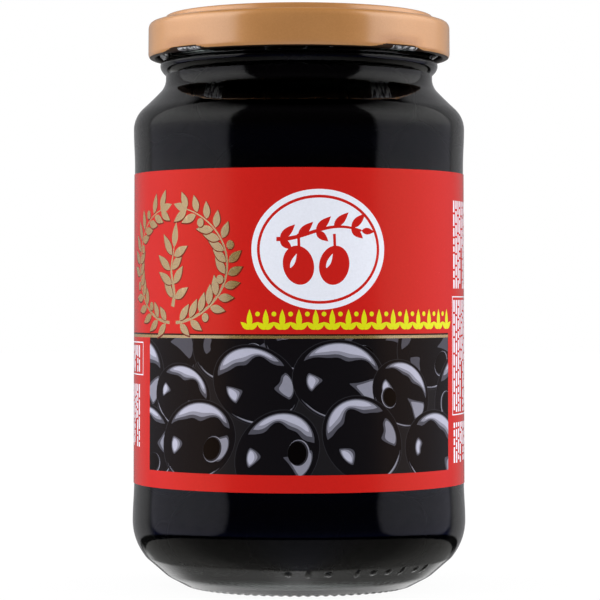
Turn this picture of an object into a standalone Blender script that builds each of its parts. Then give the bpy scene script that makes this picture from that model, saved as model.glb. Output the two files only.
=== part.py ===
"""A 370 ml glass jar of pitted black olives, shut with a gold twist-off lid and wrapped in a paper label.

Four solids: the glass, the lid, the label and the olives. The jar stands on z = 0 with its axis on Z,
and its front faces -Y. Sizes are in millimetres here and are turned to metres by MM.
"""

import math
import random

import bmesh
import bpy
from mathutils import Matrix, Vector

MM = 0.001
TURN = 2 * math.pi
SIDES = 60  # flat sides that stand for one round
WELD = 0.001 * MM

# The jar body
SHOULDER_RADIUS = 36.38  # the ring that guards the label's upper edge
HEEL_RADIUS = 36.65  # the ring that guards its lower edge
PANEL_RADIUS = 35.95  # the recessed wall behind the label
WALL = 2.3
HEEL_RING_HEIGHT = 14.5
SHOULDER_RING_HEIGHT = 100.15
PANEL_STEP = 8.5  # height over which a ring fades into the panel

# The heel and the base
HEEL_CURVE = 12.4
HEEL_EDGE = math.radians(-39)  # where the heel's curve breaks into the cone under it
CONE_SLOPE = math.radians(35.7)
FOOT_RADIUS = 23.4  # outer edge of the ring that the jar stands on
FOOT_CURVE = 3.2
FOOT_WIDTH = 1.3
PUSH_UP = 2.2  # height of the hollow under the base
PUSH_UP_FLAT = 0.6  # share of the hollow's radius over which it stays nearly flat
FLOOR_HEIGHT = 3.6  # inner floor, at its lowest ring

# The shoulder and the neck
SHOULDER_CURVE = 5.95
SHOULDER_SLOPE = math.radians(46)
NECK_RADIUS = 29.33
NECK_CURVE = 3.2
MOUTH_RADIUS = 26.2
BEAD_RADIUS = 30.55
BEAD_HEIGHT = 114.1
BEAD_HALF = 1.3
RIM_HEIGHT = 123.5
RIM_RADIUS = 28.8
RIM_CURVE = 0.8
FINISH_TAPER = 1.0  # height over which the neck narrows to the rim

# The glass threads
THREADS = 4
THREAD_RADIUS = 31.1
THREAD_ROOT = 0.8  # how deep a thread is sunk into the neck
THREAD_END = 0.45  # how much of its height is left at its ends
THREAD_SPAN = math.radians(62)
THREAD_LOW_HEIGHT = 116.6
THREAD_RISE = 2.2
THREAD_ROOT_HALF = 1.3
THREAD_TIP_HALF = 0.5
THREAD_LOW_ANGLE = math.radians(-105)  # where the first one starts, from the front, to the right
THREAD_STEPS = 8

# The lid
LID_RADIUS = 33.2
LID_BOTTOM = 116.4
LID_SHOULDER_HEIGHT = 123.9
LID_CORNER = 1.4
LID_PANEL_RADIUS = 29.6
LID_PANEL_RING = 4.6  # width of the raised ring at the panel's edge
LID_RECESS = 0.6
LID_TOP = 125.25
LID_WALL = 0.5
LID_SEAT = 0.3  # clearance over the rim, where the sealing ring is squeezed
CURL_OUTER = 1.25
CURL_INNER = 0.5
LUGS = 4
LUG_ANGLE = math.radians(45)
LUG_SPAN = math.radians(22)
LUG_INNER_RADIUS = 30.5
LUG_LIFT = 0.1  # from the lid's lower edge
LUG_HEIGHT = 0.6
LUG_STEPS = 3

# The label
LABEL_BOTTOM = 22.8
LABEL_TOP = 90.3
LABEL_GAP = 0.3
LABEL_THICKNESS = 0.12

# The olives
OLIVE_RADIUS = 8.3
OLIVE_HALF_LENGTH = 10.4
OLIVE_ROWS = 7
OLIVES_IN_ROW = 9
OLIVES_BOTTOM = 13.0  # middle of the lowest row
OLIVES_TOP = 105.5  # middle of the highest row
OLIVE_PRESS = 0.4  # how far an olive would reach past the glass, were it not flattened
OLIVE_SIZES = (0.94, 1.05)
OLIVE_LEANS = (0.15 * math.pi, 0.9 * math.pi)
OLIVE_TWIST = 0.3
OLIVE_DRIFT = 0.08  # angle by which an olive strays from its place in the row
OLIVE_LIFT = 1.6  # height by which it strays
OLIVE_GAP = 0.35  # to the glass
OLIVE_REACH = 4.0  # how far up and down an olive feels where the glass narrows
CORE_DEPTH = 7.5  # from the glass to the plain core
CORE_BOTTOM = 8.0
CORE_TOP = 108.0
CORE_SIDES = 20
CORE_STEPS = 8
SEED = 7


def arc(centre, radius, start, end, steps):
    """Points round centre = (r, z), from the angle start to end, both in radians from the +r side."""
    for i in range(steps + 1):
        angle = start + (end - start) * i / steps
        yield (centre[0] + radius * math.cos(angle), centre[1] + radius * math.sin(angle))


def material(name, colour, roughness, metallic=0.0, transmission=0.0):
    made = bpy.data.materials.new(name)
    made.use_nodes = True
    shader = made.node_tree.nodes["Principled BSDF"]
    shader.inputs["Base Color"].default_value = (*colour, 1.0)
    shader.inputs["Roughness"].default_value = roughness
    shader.inputs["Metallic"].default_value = metallic
    shader.inputs["Transmission Weight"].default_value = transmission
    return made


def add_object(name, shape, finish):
    """A named object that holds the bmesh shape, whose sizes are in millimetres."""
    bmesh.ops.scale(shape, vec=(MM, MM, MM), verts=shape.verts)
    mesh = bpy.data.meshes.new(name)
    shape.to_mesh(mesh)
    shape.free()
    mesh.shade_smooth()
    mesh.set_sharp_from_angle(angle=math.radians(30))
    made = bpy.data.objects.new(name, mesh)
    made.data.materials.append(finish)
    bpy.context.scene.collection.objects.link(made)
    return made


def turned(profile, sides, closed=False):
    """A bmesh turned round Z from profile, a list of (r, z) that runs from the axis back to it.

    A closed profile is a loop clear of the axis, and makes a ring.
    """
    shape = bmesh.new()
    points = [shape.verts.new((0.0, -r, z)) for r, z in profile]
    pairs = list(zip(points, points[1:]))
    if closed:
        pairs.append((points[-1], points[0]))
    edges = [shape.edges.new(pair) for pair in pairs]
    bmesh.ops.spin(
        shape,
        geom=points + edges,
        cent=(0, 0, 0),
        axis=(0, 0, 1),
        angle=TURN,
        steps=sides,
        use_merge=True,
    )
    bmesh.ops.remove_doubles(shape, verts=shape.verts, dist=WELD / MM)
    bmesh.ops.recalc_face_normals(shape, faces=shape.faces)
    return shape


def on_cylinder(radius, angle, height):
    """A point at that angle from the front, -Y, counted towards the right, +X."""
    return Vector((radius * math.sin(angle), -radius * math.cos(angle), height))


def swept(sections):
    """A closed bmesh skinned over sections, loops of as many points each, in order."""
    shape = bmesh.new()
    loops = [[shape.verts.new(point) for point in section] for section in sections]
    for first, second in zip(loops, loops[1:]):
        for i in range(len(first)):
            j = (i + 1) % len(first)
            shape.faces.new((first[i], first[j], second[j], second[i]))
    shape.faces.new(loops[0])
    shape.faces.new(reversed(loops[-1]))
    bmesh.ops.recalc_face_normals(shape, faces=shape.faces)
    return shape


def fuse(target, additions):
    """Joins the additions into target with one Boolean union, and removes them."""
    group = bpy.data.collections.new(target.name + "_additions")
    bpy.context.scene.collection.children.link(group)
    for piece in additions:
        bpy.context.scene.collection.objects.unlink(piece)
        group.objects.link(piece)
    union = target.modifiers.new("union", "BOOLEAN")
    union.operation = "UNION"
    union.operand_type = "COLLECTION"
    union.collection = group
    union.solver = "EXACT"
    graph = bpy.context.evaluated_depsgraph_get()
    joined = bpy.data.meshes.new_from_object(target.evaluated_get(graph))
    target.modifiers.remove(union)
    target.data = joined
    for piece in list(group.objects):
        bpy.data.objects.remove(piece)
    bpy.data.collections.remove(group)


def outer_glass():
    """The outer half of the glass, from the middle of the base up to the rim."""
    foot_inner = FOOT_RADIUS - FOOT_WIDTH
    yield (0.0, PUSH_UP)
    yield (PUSH_UP_FLAT * foot_inner, 0.8 * PUSH_UP)
    yield (foot_inner - FOOT_WIDTH, 0.25 * PUSH_UP)
    yield (foot_inner, 0.0)
    yield from arc((FOOT_RADIUS, FOOT_CURVE), FOOT_CURVE, -math.pi / 2, CONE_SLOPE - math.pi / 2, 2)
    yield from arc((HEEL_RADIUS - HEEL_CURVE, HEEL_RING_HEIGHT), HEEL_CURVE, HEEL_EDGE, 0.0, 4)
    yield (PANEL_RADIUS, HEEL_RING_HEIGHT + PANEL_STEP)
    yield (PANEL_RADIUS, SHOULDER_RING_HEIGHT - PANEL_STEP)
    shoulder_centre = (SHOULDER_RADIUS - SHOULDER_CURVE, SHOULDER_RING_HEIGHT)
    yield from arc(shoulder_centre, SHOULDER_CURVE, 0.0, SHOULDER_SLOPE, 4)
    yield from neck_fillet(shoulder_centre, NECK_RADIUS, SHOULDER_CURVE, NECK_CURVE, 3)
    yield from bead()
    yield (NECK_RADIUS, RIM_HEIGHT - RIM_CURVE - FINISH_TAPER)
    yield from arc((RIM_RADIUS - RIM_CURVE, RIM_HEIGHT - RIM_CURVE), RIM_CURVE, 0.0, math.pi / 2, 2)


def neck_fillet(shoulder_centre, neck_radius, shoulder_curve, neck_curve, steps):
    """The hollow curve from the end of the shoulder's cone up to the upright neck."""
    cone_low = (
        shoulder_centre[0] + shoulder_curve * math.cos(SHOULDER_SLOPE),
        shoulder_centre[1] + shoulder_curve * math.sin(SHOULDER_SLOPE),
    )
    start_radius = neck_radius + neck_curve * (1 - math.cos(SHOULDER_SLOPE))
    start_height = cone_low[1] + (cone_low[0] - start_radius) / math.tan(SHOULDER_SLOPE)
    centre = (neck_radius + neck_curve, start_height + neck_curve * math.sin(SHOULDER_SLOPE))
    yield from arc(centre, neck_curve, math.pi + SHOULDER_SLOPE, math.pi, steps)


def bead():
    """The round transfer ring under the lid."""
    reach = BEAD_RADIUS - NECK_RADIUS
    for step in range(5):
        share = -1 + 2 * step / 4
        bulge = reach * math.sqrt(math.cos(share * math.pi / 2))
        yield (NECK_RADIUS + max(bulge, 0.0), BEAD_HEIGHT + share * BEAD_HALF)


def inner_glass():
    """The inner half of the glass, from the rim down to the middle of the floor."""
    yield from arc((MOUTH_RADIUS + RIM_CURVE, RIM_HEIGHT - RIM_CURVE), RIM_CURVE, math.pi / 2, math.pi, 2)
    body = PANEL_RADIUS - WALL
    shoulder_curve = SHOULDER_CURVE - WALL
    shoulder_centre = (body - shoulder_curve, SHOULDER_RING_HEIGHT)
    fillet = list(neck_fillet(shoulder_centre, MOUTH_RADIUS, shoulder_curve, NECK_CURVE + WALL, 3))
    yield from reversed(fillet)
    yield from arc(shoulder_centre, shoulder_curve, SHOULDER_SLOPE, 0.0, 2)
    heel_curve = HEEL_CURVE - WALL
    yield from arc((body - heel_curve, HEEL_RING_HEIGHT), heel_curve, 0.0, HEEL_EDGE, 3)
    yield (FOOT_RADIUS - FOOT_WIDTH, FLOOR_HEIGHT)
    yield (0.5 * FOOT_RADIUS, FLOOR_HEIGHT + 0.7 * PUSH_UP)
    yield (0.0, FLOOR_HEIGHT + PUSH_UP)


def thread(number):
    """One glass thread: a ridge that climbs to the right round the finish."""
    low_angle = THREAD_LOW_ANGLE + number * TURN / THREADS
    root_radius = NECK_RADIUS - THREAD_ROOT
    sections = []
    for i in range(THREAD_STEPS + 1):
        share = i / THREAD_STEPS
        angle = low_angle + share * THREAD_SPAN
        height = THREAD_LOW_HEIGHT + share * THREAD_RISE
        taper = THREAD_END if i in (0, THREAD_STEPS) else 1.0
        tip_radius = NECK_RADIUS + taper * (THREAD_RADIUS - NECK_RADIUS)
        corners = (
            (root_radius, -THREAD_ROOT_HALF),
            (tip_radius, -THREAD_TIP_HALF),
            (tip_radius, THREAD_TIP_HALF),
            (root_radius, THREAD_ROOT_HALF),
        )
        sections.append([on_cylinder(radius, angle, height + rise) for radius, rise in corners])
    return swept(sections)


def lug(number):
    """One lug of the lid: the curl bent inward under a thread."""
    middle = LUG_ANGLE + number * TURN / LUGS
    low = LID_BOTTOM + LUG_LIFT
    corners = (
        (LUG_INNER_RADIUS, low),
        (LID_RADIUS - LID_WALL, low),
        (LID_RADIUS - LID_WALL, low + LUG_HEIGHT),
        (LUG_INNER_RADIUS, low + LUG_HEIGHT),
    )
    sections = []
    for i in range(LUG_STEPS + 1):
        angle = middle + (i / LUG_STEPS - 0.5) * LUG_SPAN
        sections.append([on_cylinder(radius, angle, height) for radius, height in corners])
    return swept(sections)


def lid_profile():
    """The lid's outer face from the middle down to the curl, then its inner face back up."""
    ring_inner = LID_PANEL_RADIUS - LID_PANEL_RING
    yield (0.0, LID_TOP - LID_RECESS)
    yield (ring_inner, LID_TOP - LID_RECESS)
    yield (ring_inner + LID_RECESS, LID_TOP)
    yield (LID_PANEL_RADIUS - 0.5 * LID_RECESS, LID_TOP)
    yield (LID_PANEL_RADIUS, LID_TOP - 0.5 * LID_RECESS)
    yield (LID_PANEL_RADIUS + 0.5 * LID_RECESS, LID_SHOULDER_HEIGHT)
    corner = (LID_RADIUS - LID_CORNER, LID_SHOULDER_HEIGHT - LID_CORNER)
    yield from arc(corner, LID_CORNER, math.pi / 2, 0.0, 4)
    yield from arc((LID_RADIUS - CURL_OUTER, LID_BOTTOM + CURL_OUTER), CURL_OUTER, 0.0, -math.pi / 2, 3)
    curl_width = CURL_OUTER + CURL_INNER
    curl = (LID_RADIUS - curl_width + CURL_INNER, LID_BOTTOM + CURL_INNER)
    yield from arc(curl, CURL_INNER, -math.pi / 2, -math.pi, 2)
    inner = LID_RADIUS - LID_WALL
    under = LID_SHOULDER_HEIGHT - LID_WALL
    yield (LID_RADIUS - curl_width, LID_BOTTOM + CURL_OUTER)
    yield (inner, LID_BOTTOM + 2 * CURL_OUTER)
    yield (inner, under - LID_CORNER + LID_WALL)
    yield (inner - LID_CORNER + LID_WALL, under)
    yield (LID_PANEL_RADIUS - LID_WALL, under)
    yield (LID_PANEL_RADIUS - LID_WALL, RIM_HEIGHT + LID_SEAT)
    yield (0.0, RIM_HEIGHT + LID_SEAT)


def inner_radius_at(height):
    """How far the inner wall stands from the axis at that height, read along the glass's own profile."""
    wall = list(inner_glass())
    for upper, lower in zip(wall, wall[1:]):
        if lower[1] <= height <= upper[1] and upper[1] > lower[1]:
            share = (height - lower[1]) / (upper[1] - lower[1])
            return lower[0] + share * (upper[0] - lower[0])
    return MOUTH_RADIUS


def press_inside(point, floor):
    """Moves a point back to the inner wall if it is past it, as an olive flattens against glass."""
    height = max(point.z, floor)
    nearby = (height - OLIVE_REACH, height, height + OLIVE_REACH)
    limit = min(inner_radius_at(level) for level in nearby) - OLIVE_GAP
    radius = math.hypot(point.x, point.y)
    scale = min(1.0, limit / radius) if radius > 0 else 1.0
    return Vector((point.x * scale, point.y * scale, height))


def olive(place, tilt, turn, size):
    """A bmesh olive of few sides whose middle is at place."""
    shape = bmesh.new()
    bmesh.ops.create_icosphere(shape, subdivisions=1, radius=1.0)
    bmesh.ops.scale(
        shape,
        vec=(OLIVE_RADIUS * size, OLIVE_RADIUS * size, OLIVE_HALF_LENGTH * size),
        verts=shape.verts,
    )
    turning = Matrix.Rotation(turn, 4, "Z") @ Matrix.Rotation(tilt, 4, "Y")
    bmesh.ops.transform(shape, matrix=Matrix.Translation(place) @ turning, verts=shape.verts)
    floor = FLOOR_HEIGHT + PUSH_UP + OLIVE_GAP
    for vertex in shape.verts:
        vertex.co = press_inside(vertex.co, floor)
    return shape


def olive_places():
    """The place, tilt, turn and size of each olive that lies against the glass, row over row."""
    chance = random.Random(SEED)
    for row in range(OLIVE_ROWS):
        height = OLIVES_BOTTOM + (OLIVES_TOP - OLIVES_BOTTOM) * row / (OLIVE_ROWS - 1)
        for i in range(OLIVES_IN_ROW):
            angle = TURN * (i + 0.5 * (row % 2)) / OLIVES_IN_ROW
            angle += chance.uniform(-OLIVE_DRIFT, OLIVE_DRIFT)
            middle = height + chance.uniform(-OLIVE_LIFT, OLIVE_LIFT)
            size = chance.uniform(*OLIVE_SIZES)
            radius = inner_radius_at(middle) - OLIVE_RADIUS * size + OLIVE_PRESS
            tilt = chance.uniform(*OLIVE_LEANS)
            turn = angle + chance.uniform(-OLIVE_TWIST, OLIVE_TWIST)
            yield on_cylinder(radius, angle, middle), tilt, turn, size


def core_profile():
    """The plain middle of the heap, CORE_DEPTH inside the glass."""
    yield (0.0, CORE_BOTTOM)
    for i in range(CORE_STEPS + 1):
        height = CORE_BOTTOM + (CORE_TOP - CORE_BOTTOM) * i / CORE_STEPS
        yield (inner_radius_at(height) - CORE_DEPTH, height)
    yield (0.0, CORE_TOP)


def add_glass():
    finish = material("clear_glass", (0.9, 0.94, 0.92), 0.05, transmission=1.0)
    profile = [*outer_glass(), *inner_glass()]
    glass = add_object("jar_glass", turned(profile, SIDES), finish)
    fuse(glass, [add_object(f"thread_{i}", thread(i), finish) for i in range(THREADS)])


def add_lid():
    finish = material("gold_lacquer", (0.52, 0.24, 0.08), 0.35, metallic=0.3)
    lid = add_object("lid", turned(list(lid_profile()), SIDES), finish)
    fuse(lid, [add_object(f"lug_{i}", lug(i), finish) for i in range(LUGS)])


def add_label():
    finish = material("red_paper", (0.62, 0.025, 0.022), 0.3)
    inner = PANEL_RADIUS + LABEL_GAP
    outer = inner + LABEL_THICKNESS
    section = [(inner, LABEL_BOTTOM), (outer, LABEL_BOTTOM), (outer, LABEL_TOP), (inner, LABEL_TOP)]
    add_object("label", turned(section, SIDES, closed=True), finish)


def add_olives():
    finish = material("black_olive", (0.008, 0.006, 0.006), 0.3)
    heap = add_object("olives", turned(list(core_profile()), CORE_SIDES), finish)
    pieces = [add_object(f"olive_{i}", olive(*where), finish) for i, where in enumerate(olive_places())]
    fuse(heap, pieces)


def main():
    for left_over in list(bpy.data.objects):
        bpy.data.objects.remove(left_over)
    add_glass()
    add_lid()
    add_label()
    add_olives()


main()
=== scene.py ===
# %% [markdown]
# # A closed jar of black olives
#
# The jar is clear glass, full of black olives in nearly black brine. A copper-gold lid shuts it, and a
# printed red label runs round its straight wall.
#
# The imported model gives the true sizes. Its solids are plain, so each one is replaced here by a finer piece
# in the same place: glass, olives, lid and label. The brine has no solid of its own and is added.
# The jar stands on z = 0 with its axis on Z, and its front faces -Y. Sizes are in millimetres until a mesh
# is made.

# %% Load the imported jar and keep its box
import math
import random

import bmesh
import bpy
from mathutils import Matrix, Vector
from mathutils.geometry import delaunay_2d_cdt


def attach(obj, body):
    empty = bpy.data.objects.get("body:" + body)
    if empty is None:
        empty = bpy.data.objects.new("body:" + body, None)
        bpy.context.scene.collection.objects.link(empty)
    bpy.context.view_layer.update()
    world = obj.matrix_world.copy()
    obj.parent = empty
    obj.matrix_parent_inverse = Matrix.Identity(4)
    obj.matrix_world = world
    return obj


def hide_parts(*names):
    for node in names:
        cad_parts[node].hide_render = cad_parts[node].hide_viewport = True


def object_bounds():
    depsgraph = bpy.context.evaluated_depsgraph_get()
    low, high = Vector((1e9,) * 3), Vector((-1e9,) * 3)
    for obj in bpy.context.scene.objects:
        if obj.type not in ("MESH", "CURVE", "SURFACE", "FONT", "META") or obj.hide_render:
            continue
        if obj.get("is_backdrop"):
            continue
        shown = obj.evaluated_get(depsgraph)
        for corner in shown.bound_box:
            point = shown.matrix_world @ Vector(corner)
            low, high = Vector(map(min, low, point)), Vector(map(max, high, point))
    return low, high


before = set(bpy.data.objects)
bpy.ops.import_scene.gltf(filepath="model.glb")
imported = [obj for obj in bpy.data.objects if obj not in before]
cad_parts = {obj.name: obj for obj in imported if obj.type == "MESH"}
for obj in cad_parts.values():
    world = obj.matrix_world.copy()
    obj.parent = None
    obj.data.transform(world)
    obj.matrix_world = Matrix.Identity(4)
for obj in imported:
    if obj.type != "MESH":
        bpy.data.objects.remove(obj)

packed_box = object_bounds()
MM = 0.001
TURN = 2 * math.pi
print("nodes:", sorted(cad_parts))

# %% [markdown]
# ## The camera
#
# Straight lines tell little about a round jar, but its rings do: each ring is seen as an ellipse, and how
# open the ellipse is gives the height of the eye. The lid's lower edge is seen from below and the base from
# above by the same angle, so the camera is level with the jar's middle. The angle gives its distance, and
# the jar's size in the picture then gives the lens. A long lens keeps the sides nearly parallel.

# %% Place the camera
SENSOR_WIDTH = 36.0
IMAGE_WIDTH = 600
FOCAL_PIXELS = 2600
CAMERA_DISTANCE = 574.0
CAMERA_HEIGHT = 62.8
AXIS_OFF_CENTRE = 0.22  # the jar stands one pixel left of the picture's middle

camera_data = bpy.data.cameras.new("camera")
camera_data.sensor_width = SENSOR_WIDTH
camera_data.lens = FOCAL_PIXELS * SENSOR_WIDTH / IMAGE_WIDTH
camera_data.clip_start = 0.01
camera = bpy.data.objects.new("camera", camera_data)
camera.location = (AXIS_OFF_CENTRE * MM, -CAMERA_DISTANCE * MM, CAMERA_HEIGHT * MM)
camera.rotation_euler = (math.pi / 2, 0.0, 0.0)
bpy.context.scene.collection.objects.link(camera)
bpy.context.scene.camera = camera
print("lens:", camera_data.lens, "mm")

# %% [markdown]
# ## Helpers for materials
#
# A colour picked from a screen is sRGB, while Blender's shaders count in linear light. One function turns
# the one into the other, so that every colour below can be read as a plain hex value. Another one adds any
# kind of node to a tree, sets it up and links it, which keeps each material a short list of nodes.

# %% Colours and nodes
def linear(hex_colour):
    """A linear RGBA colour from an sRGB hex value."""
    shares = [int(hex_colour[i:i + 2], 16) / 255 for i in (1, 3, 5)]
    bright = [s / 12.92 if s <= 0.04045 else ((s + 0.055) / 1.055) ** 2.4 for s in shares]
    return (*bright, 1.0)


def add_node(tree, kind, inputs=None, stops=None, **settings):
    """Adds a node with its settings. Each input is given a value, or a socket or node to link from.

    A node is linked from its first output in use. A colour ramp also takes its stops, as pairs of
    position and hex colour from left to right.
    """
    made = tree.nodes.new(kind)
    for name, value in settings.items():
        setattr(made, name, value)
    for key, value in (inputs or {}).items():
        if isinstance(value, bpy.types.Node):
            value = next(socket for socket in value.outputs if socket.enabled)
        if isinstance(value, bpy.types.NodeSocket):
            tree.links.new(value, made.inputs[key])
        else:
            made.inputs[key].default_value = value
    if stops:
        while len(made.color_ramp.elements) < len(stops):
            made.color_ramp.elements.new(1.0)
        for element, (position, colour) in zip(made.color_ramp.elements, stops):
            element.position = position
            element.color = linear(colour)
    return made


def new_material(name):
    """An empty material and its node tree."""
    made = bpy.data.materials.new(name)
    made.use_nodes = True
    made.node_tree.nodes.clear()
    return made, made.node_tree


print("white in linear light:", linear("#ffffff"))

# %% [markdown]
# ## The studio
#
# Dark shiny glass shows its surroundings more than itself, so the light has to be shaped like the real
# studio: a tall soft box on either side, a dark gap in front where the camera stands, a dark ceiling, and a
# dimmer backdrop behind. Lamps could do it, but a world that is drawn by direction gives clean reflections
# with little noise. Each direction is turned into an azimuth and an elevation, and a rounded rectangle in
# those two angles is the soft box.

# %% Measure each direction
world = bpy.data.worlds.new("studio")
world.use_nodes = True
bpy.context.scene.world = world
sky = world.node_tree
sky.nodes.clear()

BOX_TURN = math.radians(3)  # the pair of boxes is turned a little to the right

toward = add_node(sky, "ShaderNodeTexCoord")
axes = add_node(sky, "ShaderNodeSeparateXYZ", {"Vector": toward.outputs["Generated"]})
forward = add_node(sky, "ShaderNodeMath", {0: axes.outputs["Y"], 1: -1.0}, operation="MULTIPLY")
round_about = add_node(sky, "ShaderNodeMath", {0: axes.outputs["X"], 1: forward}, operation="ARCTAN2")
turned_box = add_node(sky, "ShaderNodeMath", {0: round_about, 1: BOX_TURN}, operation="SUBTRACT")
azimuth = add_node(sky, "ShaderNodeMath", {0: turned_box}, operation="ABSOLUTE")
elevation = add_node(sky, "ShaderNodeMath", {0: axes.outputs["Z"]}, operation="ARCSINE")
print("boxes turned by", round(math.degrees(BOX_TURN)), "degrees")

# %% Paint the light by height and by turn
# Each list gives degrees and a colour. Heights run from -90, straight down, to 90.
BY_HEIGHT = (elevation, -90, 90)
BY_TURN = (azimuth, 0, 180)
LIGHTS = {
    "box by height": (BY_HEIGHT, [
        (-16, "#a8a8c4"), (2, "#acacb6"), (10, "#dedee0"), (29, "#f2f2f2"), (42, "#d0d0d0"), (52, "#9c9c9c"),
        (59, "#585858"), (64, "#000000"),
    ]),
    "box by turn": (BY_TURN, [(46, "#dcdcdc"), (62, "#fafafa"), (85, "#ffffff"), (128, "#e8e8e8")]),
    "front by height": (BY_HEIGHT, [
        (-15, "#2c3468"), (-4, "#20243c"), (4, "#201c20"), (28, "#282428"), (45, "#343034"), (60, "#201c20"),
        (66, "#000000"),
    ]),
    "table by turn": (BY_TURN, [
        (10, "#8a8a94"), (45, "#7e7c7a"), (75, "#84827f"), (105, "#bcbab6"), (150, "#c8c8c6"),
        (172, "#ffffff"),
    ]),
    "table by depth": (BY_HEIGHT, [(-80, "#ffffff"), (-50, "#d0d0d0"), (-17, "#b4b4b4")]),
    "far table by depth": (BY_HEIGHT, [
        (-60, "#000000"), (-50, "#c0c0c0"), (-30, "#ffffff"), (-18, "#ffffff"), (-13, "#000000"),
    ]),
}
painted = {}
for light, ((angle, lowest, highest), colours) in LIGHTS.items():
    share = add_node(
        sky,
        "ShaderNodeMapRange",
        {"Value": angle, "From Min": math.radians(lowest), "From Max": math.radians(highest)},
    )
    stops = [((degrees - lowest) / (highest - lowest), colour) for degrees, colour in colours]
    painted[light] = add_node(sky, "ShaderNodeValToRGB", {"Fac": share}, stops, label=light)
print("painted:", ", ".join(painted))

# %% [markdown]
# The lights meet in soft edges. Between the white table and what stands behind it lies a dark gap, which
# draws the black line round the heel. Right behind the jar the table runs on as bright paper, which draws
# the pale rim inside that line.

# %% Set the edges between the lights
EDGES = {  # the angle, the degrees where the edge starts and where it is full, and its least value
    "behind": (azimuth, 120, 134, 0.0),
    "above the table": (elevation, -18, -17, 0.0),
    "above the gap": (elevation, -13.5, -12, 0.04),
    "far off": (azimuth, 152, 166, 0.0),
    "below the backdrop's top": (elevation, 50, 42, 0.0),
}
edges = {}
for edge, (angle, start, full, least) in EDGES.items():
    edges[edge] = add_node(
        sky,
        "ShaderNodeMapRange",
        {"Value": angle, "From Min": math.radians(start), "From Max": math.radians(full), "To Min": least},
        interpolation_type="SMOOTHSTEP",
        label=edge,
    )
print("edges:", ", ".join(edges))

# %% Cut out the soft boxes
BOX_MIDDLE = (math.radians(89.5), math.radians(25.5), 0.0)  # azimuth and elevation
BOX_HALF = math.radians(38.5)
BOX_CORNER = math.radians(21)
BOX_EDGE = math.radians(2.2)

straight = BOX_HALF - BOX_CORNER
rounding = (
    ("SUBTRACT", BOX_MIDDLE),
    ("ABSOLUTE", None),
    ("SUBTRACT", (straight, straight, 0.0)),
    ("MAXIMUM", (0.0, 0.0, 0.0)),
    ("LENGTH", None),
)
reach = add_node(sky, "ShaderNodeCombineXYZ", {"X": azimuth, "Y": elevation, "Z": 0.0})
for step, value in rounding:
    inputs = {0: reach} if value is None else {0: reach, 1: value}
    reach = add_node(sky, "ShaderNodeVectorMath", inputs, operation=step)
in_box = add_node(
    sky,
    "ShaderNodeMapRange",
    {
        "Value": reach,
        "From Min": BOX_CORNER - BOX_EDGE,
        "From Max": BOX_CORNER + BOX_EDGE,
        "To Min": 1.0,
        "To Max": 0.0,
    },
    interpolation_type="SMOOTHSTEP",
)
print("each box spans", round(math.degrees(2 * BOX_HALF)), "degrees")

# %% Put the studio together
BACKDROP = "#9a9a9c"

lit_by = {}
for light, turn_light, height_light in (
    ("box", "box by turn", "box by height"), ("table", "table by turn", "table by depth")
):
    lit_by[light] = add_node(
        sky, "ShaderNodeVectorMath", {0: painted[height_light], 1: painted[turn_light]}, operation="MULTIPLY"
    )
backdrop = add_node(
    sky,
    "ShaderNodeVectorMath",
    {0: linear(BACKDROP)[:3], "Scale": edges["below the backdrop's top"]},
    operation="SCALE",
)
far_table = add_node(
    sky, "ShaderNodeMath", {0: edges["far off"], 1: painted["far table by depth"]}, operation="MULTIPLY"
)
room = add_node(
    sky,
    "ShaderNodeMix",
    {"Factor": edges["behind"], 6: painted["front by height"], 7: backdrop},
    data_type="RGBA",
)
room = add_node(sky, "ShaderNodeMix", {"Factor": in_box, 6: room, 7: lit_by["box"]}, data_type="RGBA")
room = add_node(sky, "ShaderNodeVectorMath", {0: room, "Scale": edges["above the gap"]}, operation="SCALE")
studio = add_node(
    sky, "ShaderNodeMix", {"Factor": edges["above the table"], 6: lit_by["table"], 7: room}, data_type="RGBA"
)
studio = add_node(
    sky, "ShaderNodeMix", {"Factor": far_table, 6: studio, 7: linear("#ffffff")}, data_type="RGBA"
)
print("lights put together:", ", ".join(lit_by), "and the rest of the room")

# %% [markdown]
# Matt surfaces gather light from every side, so they get a plainer world: the boxes and an even fill. The
# camera itself sees plain white paper all round.

# %% Light the matt surfaces, and keep the background white
MATT_BOX = 2.3
MATT_FILL = (0.6, 0.75)  # from the table, and from the room

matt_box = add_node(sky, "ShaderNodeMath", {0: in_box, 1: MATT_BOX}, operation="MULTIPLY")
matt_fill = add_node(
    sky,
    "ShaderNodeMapRange",
    {"Value": edges["above the table"], "To Min": MATT_FILL[0], "To Max": MATT_FILL[1]},
)
matt_light = add_node(sky, "ShaderNodeMath", {0: matt_box, 1: matt_fill}, operation="ADD")
shiny_world = add_node(sky, "ShaderNodeBackground", {"Color": studio, "Strength": 1.0})
matt_world = add_node(sky, "ShaderNodeBackground", {"Color": linear("#fbfcff"), "Strength": matt_light})
white_world = add_node(sky, "ShaderNodeBackground", {"Color": linear("#ffffff"), "Strength": 1.0})
ray = add_node(sky, "ShaderNodeLightPath")
lit = add_node(sky, "ShaderNodeMixShader", {0: ray.outputs["Is Diffuse Ray"], 1: shiny_world, 2: matt_world})
seen = add_node(sky, "ShaderNodeMixShader", {0: ray.outputs["Is Camera Ray"], 1: lit, 2: white_world})
add_node(sky, "ShaderNodeOutputWorld", {"Surface": seen})
bpy.context.scene.view_settings.view_transform = "Standard"
bpy.context.scene.view_settings.look = "None"
print("world nodes:", len(sky.nodes))

# %% [markdown]
# ## The table
#
# The jar stands on white paper that runs on behind it. A wide pale disc is enough. The camera sees it as
# almost plain white, with only a breath of the jar's own shadow. In the glass the table is drawn by the
# world, as above, so every other ray passes through the disc.

# %% Lay the white paper
TABLE_RADIUS = 2500.0
TABLE_SIDES = 64
TABLE_GLOW = 0.94  # how much of the table the camera sees as plain white

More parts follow.
